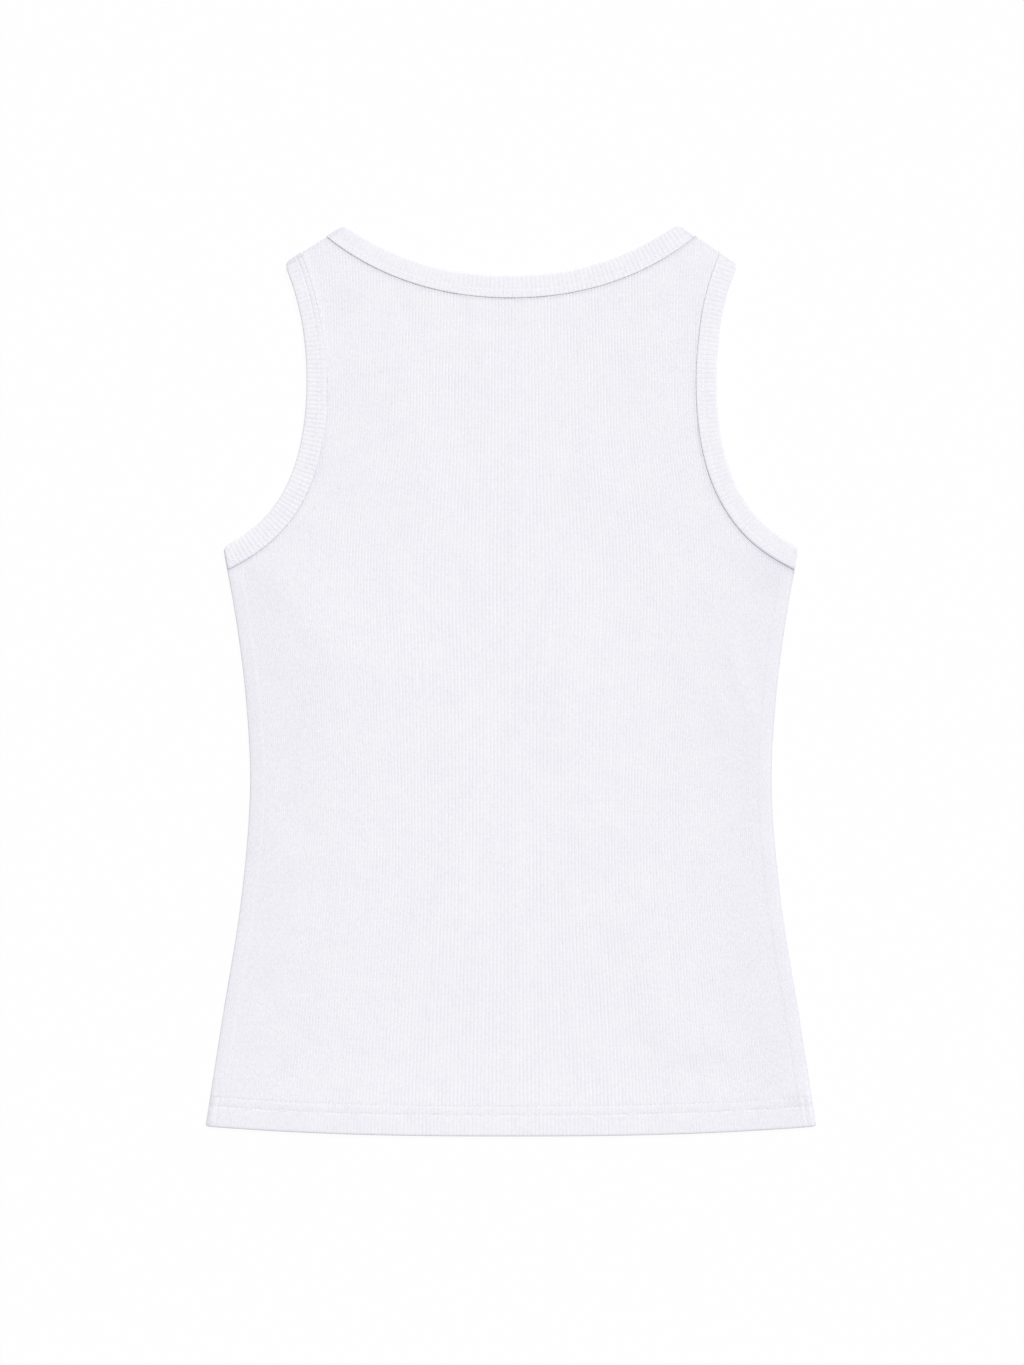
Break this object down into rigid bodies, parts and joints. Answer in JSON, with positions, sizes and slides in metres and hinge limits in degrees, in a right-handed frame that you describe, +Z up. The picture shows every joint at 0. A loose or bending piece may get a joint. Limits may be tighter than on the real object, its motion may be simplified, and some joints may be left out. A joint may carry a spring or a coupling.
{
  "type": "tank top",
  "caption": "Fitted sleeveless rib-knit tank top, laid flat with its back uppermost, with folded strips round the neck and armholes.",
  "frame": {"origin": "middle of the garment's box in plan, on the surface that it lies on", "axes": "+X across the garment, +Y from hem to neck, +Z up from the surface, out of the garment's back"},
  "size_m": [0.4094, 0.6101, 0.0042],
  "materials": {
    "rib_knit": "matt white cotton rib knit with a faint lavender cast",
    "binding_knit": "the same rib knit, folded double, with its ribs across the strip"
  },
  "bodies": {
    "root": {"back_panel": "rib_knit", "front_panel": "rib_knit", "neck_binding": "binding_knit", "armhole_binding_left": "binding_knit", "armhole_binding_right": "binding_knit"}
  },
  "joints": []
}
